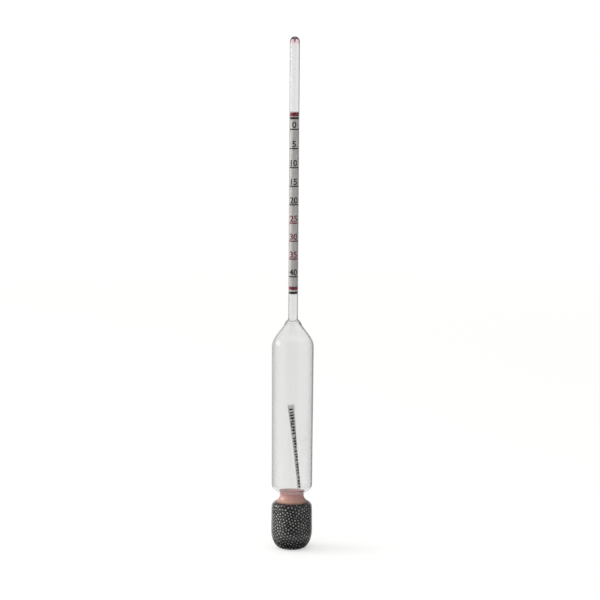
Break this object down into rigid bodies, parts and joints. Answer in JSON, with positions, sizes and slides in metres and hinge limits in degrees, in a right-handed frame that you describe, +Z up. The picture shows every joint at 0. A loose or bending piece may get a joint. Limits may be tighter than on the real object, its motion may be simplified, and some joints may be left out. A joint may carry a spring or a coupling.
{
  "type": "hydrometer",
  "caption": "Glass float hydrometer: slim stem with a rolled paper scale, cylindrical float body with a loose paper strip, and a shot-filled ballast bulb sealed with resin.",
  "frame": {"origin": "centre of the flat foot under the ballast bulb, on the glass envelope's axis", "axes": "+Z up along the axis from the foot to the stem's tip; -Y is the front, from which the scale's numerals are read; +X is to the right seen from the front"},
  "size_m": [0.0144, 0.0144, 0.175],
  "materials": {
    "clear_glass": "gloss",
    "rose_glass": "gloss",
    "scale_paper": "matte",
    "strip_paper": "matte",
    "adhesive": "gloss",
    "copper_resin": "satin",
    "dark_shot": "satin"
  },
  "bodies": {
    "envelope": {"stem_tube": "clear_glass", "stem_tip_seal": "rose_glass", "seam_collar": "clear_glass", "float_body": "clear_glass", "ballast_bulb": "clear_glass", "scale_paper": "scale_paper", "scale_adhesive_upper": "adhesive", "scale_adhesive_lower": "adhesive", "resin_plug": "copper_resin", "ballast_shot": "dark_shot"},
    "strip": {"label_strip": "strip_paper"}
  },
  "joints": [
    {"name": "label_slide", "type": "slide", "parent": "envelope", "child": "strip", "axis": [0, 0, 1], "range_m": [0, 0.021]}
  ]
}
